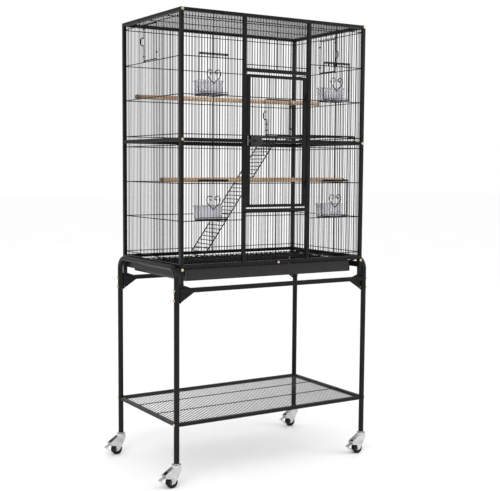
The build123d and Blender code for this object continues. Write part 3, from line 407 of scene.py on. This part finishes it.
def level_runs(z, u_span, v_span, uprights, rows, cross_drop, radius=WIRE_R):
    """Runs that lie flat: uprights run front to back and the cross wires lie just under them."""
    runs = [((Vector((u, v_span[0], z)), Vector((u, v_span[1], z))), radius) for u in uprights]
    low = z - cross_drop
    runs += [((Vector((u_span[0], v, low)), Vector((u_span[1], v, low))), CROSS_R) for v in rows]
    return runs


def top_wires():
    z = TOP - TUBE / 2 + WIRE_R
    limits = (-INNER_X, INNER_X)
    runs = level_runs(z, limits, (-INNER_Y, INNER_Y), spread(*limits), TOP_ROWS, TOP_ROW_DROP)
    return wires("top_wires", runs, "cage", ["top_grille"])


def rack_wires():
    low, high = box("rack_grille")
    z = low.z + WIRE_R
    limits = (low.x, high.x)
    runs = level_runs(z, limits, (low.y, high.y), spread(*limits), RACK_ROWS, 0.0, RACK_WIRE_R)
    return wires("rack_wires", runs, "cage", ["rack_grille"])


def door_wires():
    place = facing("front", WALL_Y)
    inner = DOOR_HIGH.x - DOOR_TUBE
    lower, upper = (DOOR_LOW.z + DOOR_TUBE, DOOR_MID), (DOOR_MID + DOOR_TUBE, DOOR_HIGH.z - DOOR_TUBE)
    uprights = spread(-inner, inner)
    brace = (nearest(uprights, 0),)
    sill, head = rows_in(upper)
    window = (-HATCH_HALF, HATCH_HALF, sill, head)
    runs = lattice(place, (-inner, inner), lower, uprights, rows_in(lower), brace)
    runs += lattice(place, (-inner, inner), upper, uprights, (sill, head), brace, (window,))
    return wires("door_wires", runs, "main_door", ["door_grilles"])


# ---------------------------------------------------------------- feeder doors and cups

# Half of the heart in mm, from its foot: sideways and up.
HALF_HEART = ((0, 0), (-8, 9), (-19, 19), (-26, 30), (-24.5, 40), (-18, 46), (-10, 45.5), (-5.5, 40),
              (-7.5, 34), (-13, 33), (-15.5, 37))
HEART_LOW = 34 * MM
HEART_R = 1.5 * MM
HEART_OUT = 1.4 * MM
BAR_R, BAR_OUT = 1.9 * MM, 2.6 * MM
BAR_GAP = 3.4 * MM              # the wire behind the head bar is this much lower
FEEDER_EDGE_R = 1.1 * MM
FEEDER_PITCH = 11.6 * MM
FEEDER_ROW = 8 * MM


def feeder_door(level, side):
    node = f"feeder_door_{level}_{side}"
    low, high = box(node)
    middle = (low.x + high.x) / 2
    plane = -(high.y - FEEDER_EDGE_R)
    place = facing("front", plane)
    u_span = (low.x, high.x)
    v_span = (low.z, high.z)
    uprights = spread(*u_span, FEEDER_PITCH)
    runs = framed(place, u_span, v_span, uprights, (low.z + FEEDER_ROW,), border=FEEDER_EDGE_R)
    for sign in (-1, 1):
        half = [(middle + sign * x * MM, low.z + HEART_LOW + z * MM, HEART_OUT) for x, z in HALF_HEART]
        runs.append(([place(*p) for p in smooth_path(half)], HEART_R))
    left, right = low.x + BAR_R, high.x - BAR_R
    for bar, second in ((low.z + BAR_R, 0.0), (high.z - BAR_R, -BAR_GAP)):
        runs.append(((place(left, bar, BAR_OUT), place(right, bar, BAR_OUT)), BAR_R))
        runs.append(((place(left, bar + second, 0), place(right, bar + second, 0)), CROSS_R))
        for u in (left, right):
            runs.append(((place(u, bar, 0), place(u, bar, BAR_OUT)), CROSS_R))
    return wires(node + "_wires", runs, node, [node])


def rounded_loop(x0, x1, y0, y1, radius, z, steps=5):
    points = []
    for cx, cy, turn in ((x1 - radius, y1 - radius, 0), (x0 + radius, y1 - radius, 90),
                         (x0 + radius, y0 + radius, 180), (x1 - radius, y0 + radius, 270)):
        for step in range(steps):
            angle = radians(turn + 90 * step / (steps - 1))
            points.append(Vector((cx + radius * cos(angle), cy + radius * sin(angle), z)))
    return points


def loft(loops):
    """Skin between closed loops of equal length, with both ends filled."""
    count = len(loops[0])
    verts = [p for loop in loops for p in loop]
    faces = []
    for i in range(len(loops) - 1):
        for k in range(count):
            after = (k + 1) % count
            faces.append((i * count + k, i * count + after, (i + 1) * count + after, (i + 1) * count + k))
    faces.append(tuple(reversed(range(count))))
    faces.append(tuple((len(loops) - 1) * count + k for k in range(count)))
    return verts, faces


CUP_RIM, CUP_WALL = 3.2 * MM, 1.8 * MM
CUP_RIM_DROP = 4.5 * MM         # underside of the rim below the cup's mouth


def cup(level, side):
    """Moulded cup: rounded, slightly tapered, with a rolled rim; skinned up the outside, down the inside."""
    node = f"cup_{level}_{side}"
    low, high = box(node)
    x0, x1, y0, y1 = low.x, high.x, low.y, high.y
    rim, wall = CUP_RIM, CUP_WALL
    flange = high.z - CUP_RIM_DROP

    profile = ((rim + 6 * MM, low.z, 8), (rim + 3.2 * MM, low.z + 1.2 * MM, 10),
               (rim + 1.6 * MM, low.z + 5 * MM, 11), (rim + 0.4 * MM, flange - 1 * MM, 12),
               (0.6 * MM, flange, 14), (0, flange + 0.8 * MM, 14), (0.8 * MM, flange + 1.6 * MM, 14),
               (rim - 0.4 * MM, flange + 2.2 * MM, 12), (rim, high.z - 0.5 * MM, 12),
               (rim + 0.6 * MM, high.z, 12), (rim + wall, high.z - 0.6 * MM, 10.5),
               (rim + wall + 1.4 * MM, low.z + 8 * MM, 9), (rim + wall + 6 * MM, low.z + wall, 6))
    loops = []
    for inset, z, corner in profile:
        sides = (x0 + inset, x1 - inset, y0 + inset, y1 - inset)
        loops.append(rounded_loop(*sides, corner * MM, z))
    verts, faces = loft(loops)
    obj = new_object(node + "_bowl", verts, faces)
    return finish_piece(obj, node, "cup_plastic", [node])


# ---------------------------------------------------------------- hatches

ROD_U, ROD_OUT = -46 * MM, 5.4 * MM
PIN_U, PIN_OUT = 54 * MM, 6.0 * MM
ARM_U, ARM_OUT = PIN_U - 2.4 * MM, PIN_OUT - 1.4 * MM      # where an arm meets its barrel
PANEL_OUT = 2.4 * MM
BARRELS, SIDE_EYES, FRONT_EYES = (24 * MM, 102 * MM), (17 * MM, 111 * MM), (17 * MM, 38 * MM)
EDGE_R = 1.15 * MM
EDGE_SPACING = 2.6 * EDGE_R     # second wire of the head and foot, from the panel's edge
PANEL_GAP = 0.4 * MM            # over and under the panel
BARREL_R, BARREL_WIRE, BARREL_PITCH = 2.6 * MM, 0.95 * MM, 2.0 * MM
EYE_R, EYE_WIRE, EYE_PITCH = 2.9 * MM, 1.0 * MM, 1.2 * MM
HATCH_TURN = {"left": -90, "front": 0, "right": 90}


def ring(place, u, v, out, radius, wire, steps=12):
    points = [place(u + radius * cos(2 * pi * k / steps), v, out + radius * sin(2 * pi * k / steps))
              for k in range(steps)]
    return (points, wire, True)


def hatch(side):
    node = f"hatch_{side}"
    low_row = ROWS[4] if side == "front" else ROWS[-2]
    base = low_row + CROSS_R
    plane = WALL_Y if side == "front" else WALL_X
    turn = Matrix.Rotation(radians(HATCH_TURN[side]), 4, "Z")

    def place(u, v, out=0.0):
        return turn @ Vector((u, -plane - out, base + v))

    span = (-HATCH_HALF, HATCH_HALF)
    low, high = PANEL_GAP, HATCH_H - PANEL_GAP
    runs = framed(place, span, (low, high), spread(*span), (), border=EDGE_R, out=PANEL_OUT)
    reach = HATCH_HALF - EDGE_R
    for v in (low + EDGE_R, low + EDGE_SPACING, high - EDGE_R, high - EDGE_SPACING):
        runs.append(((place(-reach, v, PANEL_OUT), place(reach, v, PANEL_OUT)), EDGE_R))
    for v in BARRELS:
        for step in (-1, 0, 1):
            runs.append(ring(place, PIN_U, v + step * BARREL_PITCH, PIN_OUT, BARREL_R, BARREL_WIRE))
        arm = (place(HATCH_HALF - CROSS_R, v, PANEL_OUT), place(ARM_U, v, ARM_OUT))
        runs.append((arm, CROSS_R))
    for v in FRONT_EYES if side == "front" else SIDE_EYES:
        for step in (-1, 1):
            runs.append(ring(place, ROD_U, v + step * EYE_PITCH, ROD_OUT, EYE_R, EYE_WIRE))
    return wires(node + "_wires", runs, node, [node])


# ---------------------------------------------------------------- inside and below

def platform_wires():
    low, high = box("platform")
    left, right = low.x, high.x
    z = high.z - CROSS_R
    half = SHELF_HALF_Y
    place = lambda u, v, out=0.0: Vector((u, v, z + out))
    runs = framed(place, (left, right), (-half, half), spread(left, right), (-half / 2, 0.0, half / 2))
    reach = high.y - HOOK_R
    bay_right = spread(DOOR_POST_X + TUBE, INNER_X)
    across = spread(-INNER_X, INNER_X)
    for target in (left + HOOK_INSETS[0], right - HOOK_INSETS[1]):
        for sign in (-1, 1):
            x = nearest(bay_right if sign < 0 else across, target) + (across[1] - across[0]) / 2
            hook = ((x, sign * (half - HOOK_START), HOOK_Z), (x, sign * (reach - HOOK_BEND), HOOK_Z),
                    (x, sign * reach, HOOK_Z - HOOK_BEND), (x, sign * reach, HOOK_Z - HOOK_DROP))
            runs.append((smooth_path(hook, 4), HOOK_R))
    for sign in (-1, 1):
        runs.append((shelf_rim(left + CROSS_R, right - CROSS_R, sign * (half - CROSS_R), z), CROSS_R))
    return wires("platform_wires", runs, "platform", ["platform"])


def shelf_rim(left, right, y, top):
    """Second wire under an edge of the shelf, rounded up into it at both ends."""
    low, middle = SHELF_RIM_Z, (top + SHELF_RIM_Z) / 2
    left_bend, right_bend, rise = 3 * MM, 7 * MM, 2 * MM
    corners = ((left, y, top), (left, y, low + left_bend), (left + left_bend, y, low),
               (right - right_bend, y, low), (right - rise, y, low + rise), (right, y, middle),
               (right, y, top))
    return smooth_path(corners, 4)


def grate_wires():
    low, high = box("grate")
    z = (low.z + high.z) / 2
    place = lambda u, v, out=0.0: Vector((u, v, z + out))
    uprights = spread(low.x, high.x, 2 * PITCH)
    runs = framed(place, (low.x, high.x), (low.y, high.y), uprights, GRATE_ROWS)
    return wires("grate_wires", runs, "grate", ["grate"])


CAP_INSET, CAP_CORNER, CAP_BEVEL = 1.3 * MM, 1 * MM, 0.7 * MM
CAP_LEVELS = ((6 * MM, 0), (0.8 * MM, 0), (0.2 * MM, CAP_BEVEL))     # below the post's top, and inset


def post_caps():
    """Plastic plugs in the open tops of the corner posts."""
    verts, faces = [], []
    for sx in (-1, 1):
        for sy in (-1, 1):
            x0, x1 = sorted((sx * (INNER_X + CAP_INSET), sx * (HALF_W - CAP_INSET)))
            y0, y1 = sorted((sy * (INNER_Y + CAP_INSET), sy * (HALF_D - CAP_INSET)))
            loops = []
            for drop, bevel in CAP_LEVELS:
                sides = (x0 + bevel, x1 - bevel, y0 + bevel, y1 - bevel)
                loops.append(rounded_loop(*sides, CAP_CORNER, TOP - drop, 3))
            more, skins = loft(loops)
            start = len(verts)
            verts += more
            faces += [tuple(start + k for k in face) for face in skins]
    obj = new_object("post_caps", verts, faces, smooth=False)
    return finish_piece(obj, "cage", "latch_plastic")


# ---------------------------------------------------------------- stage

CAMERA_PLACE = (-1.8673, -3.0180, 1.0719)
CAMERA_YAW, CAMERA_PITCH, CAMERA_ROLL = radians(31.696), radians(4.970), radians(0.368)
CAMERA_LENS, CAMERA_SENSOR, CAMERA_SHIFT = 69.14, 36, (0.01637, 0.01140)     # millimetres, and shares
CAMERA_REACH, FLOOR_HALF = 100, 30
LIGHT_AIM = (0, 0, 0.9)
LIGHTS = (("key", (-2.6, -2.6, 3.2), (2.2, 2.2), 70), ("fill", (3.0, -2.0, 2.4), (2.0, 2.0), 30))
SIDE_LIGHT, OVERHEAD_LIGHT = 0.42, 0.95      # of the room, level with the floor and added overhead


def add_camera():
    camera = bpy.data.objects.new("camera", bpy.data.cameras.new("camera"))
    bpy.context.scene.collection.objects.link(camera)
    ahead = cos(CAMERA_PITCH)
    view = Vector((sin(CAMERA_YAW) * ahead, cos(CAMERA_YAW) * ahead, -sin(CAMERA_PITCH)))
    level = Vector((cos(CAMERA_YAW), -sin(CAMERA_YAW), 0))
    up = level.cross(view)
    right = level * cos(CAMERA_ROLL) + up * sin(CAMERA_ROLL)
    up = right.cross(view)
    turn = Matrix((right, up, -view)).transposed()
    camera.matrix_world = Matrix.Translation(Vector(CAMERA_PLACE) + Vector((CAGE_X, 0, 0))) @ turn.to_4x4()
    camera.data.lens = CAMERA_LENS
    camera.data.sensor_width = CAMERA_SENSOR
    camera.data.shift_x, camera.data.shift_y = CAMERA_SHIFT
    camera.data.clip_end = CAMERA_REACH
    bpy.context.scene.camera = camera


def area_light(name, place, aim, size, power):
    light = bpy.data.lights.new(name, "AREA")
    light.shape = "RECTANGLE"
    light.size, light.size_y = size
    light.energy = power
    obj = bpy.data.objects.new(name, light)
    bpy.context.scene.collection.objects.link(obj)
    obj.location = place
    obj.rotation_euler = (Vector(aim) - Vector(place)).to_track_quat("-Z", "Y").to_euler()


def add_stage():
    corners = [(x * FLOOR_HALF, y * FLOOR_HALF, 0) for x, y in ((-1, -1), (1, -1), (1, 1), (-1, 1))]
    floor = new_object("floor", corners, [(0, 1, 2, 3)])
    paper = surface("floor_paper", grey(0.94), grey(0.96), (0.7, 0.8), scale=2, bump=0.0)
    floor.data.materials.append(paper)
    world = bpy.data.worlds.new("studio")
    world.use_nodes = True
    nodes, links = world.node_tree.nodes, world.node_tree.links
    direction = nodes.new("ShaderNodeSeparateXYZ")
    links.new(nodes.new("ShaderNodeTexCoord").outputs["Generated"], direction.inputs["Vector"])
    height = calculate(nodes, links, "MAXIMUM", direction.outputs["Z"], 0.0)
    overhead = calculate(nodes, links, "MULTIPLY", height, OVERHEAD_LIGHT)
    room = calculate(nodes, links, "ADD", overhead, SIDE_LIGHT)
    seen = nodes.new("ShaderNodeLightPath").outputs["Is Camera Ray"]
    lift = calculate(nodes, links, "MULTIPLY", calculate(nodes, links, "SUBTRACT", 1.0, room), seen)
    nodes["Background"].inputs["Color"].default_value = (1, 1, 1, 1)
    links.new(calculate(nodes, links, "ADD", room, lift), nodes["Background"].inputs["Strength"])
    bpy.context.scene.world = world
    bpy.context.scene.view_settings.view_transform = "Standard"
    for name, place, size, power in LIGHTS:
        area_light(name, place, LIGHT_AIM, size, power)


def build():
    dress_cad_nodes()
    front_wall()
    back_wall()
    side_wall("left")
    side_wall("right")
    top_wires()
    rack_wires()
    door_wires()
    for level in ("low", "high"):
        for side in ("left", "right"):
            feeder_door(level, side)
            cup(level, side)
    for side in ("left", "right", "front"):
        hatch(side)
    platform_wires()
    grate_wires()
    post_caps()


build()
add_stage()
add_camera()
